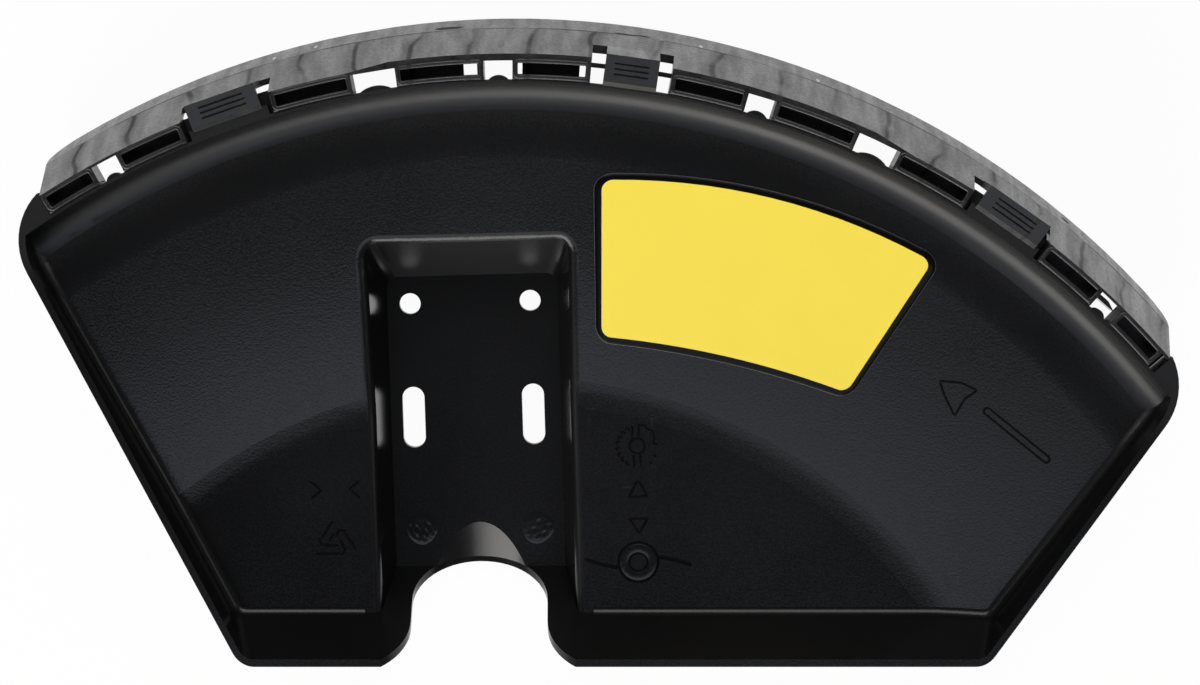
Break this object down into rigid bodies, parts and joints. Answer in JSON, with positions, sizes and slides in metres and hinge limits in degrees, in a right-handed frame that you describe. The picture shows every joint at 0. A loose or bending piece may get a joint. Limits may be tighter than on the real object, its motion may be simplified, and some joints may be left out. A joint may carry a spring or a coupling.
{
  "type": "trimmer blade guard",
  "caption": "Moulded tray-shaped guard for a garden trimmer, with a sunk mounting pocket, a shaft notch and a clip-on skirt along its arc that carries a line cutter.",
  "frame": {"origin": "midway between the two round screw holes, on the upper face of the pocket floor", "axes": "+Z out of the pocket, to the side that the shaft lies on; +Y towards the arc and its skirt; +X along the line of the two round screw holes, towards the wider wing"},
  "size_m": [0.3732, 0.2121, 0.0604],
  "materials": {
    "guard_plastic": "fine grain",
    "skirt_plastic": "satin",
    "label_film": "satin film",
    "cutter_steel": "ground",
    "screw_steel": "zinc plated"
  },
  "bodies": {
    "root": {"guard_body": "guard_plastic", "extension_skirt": "skirt_plastic", "label": "label_film", "line_cutter": "cutter_steel", "cutter_screws": "screw_steel"}
  },
  "joints": []
}
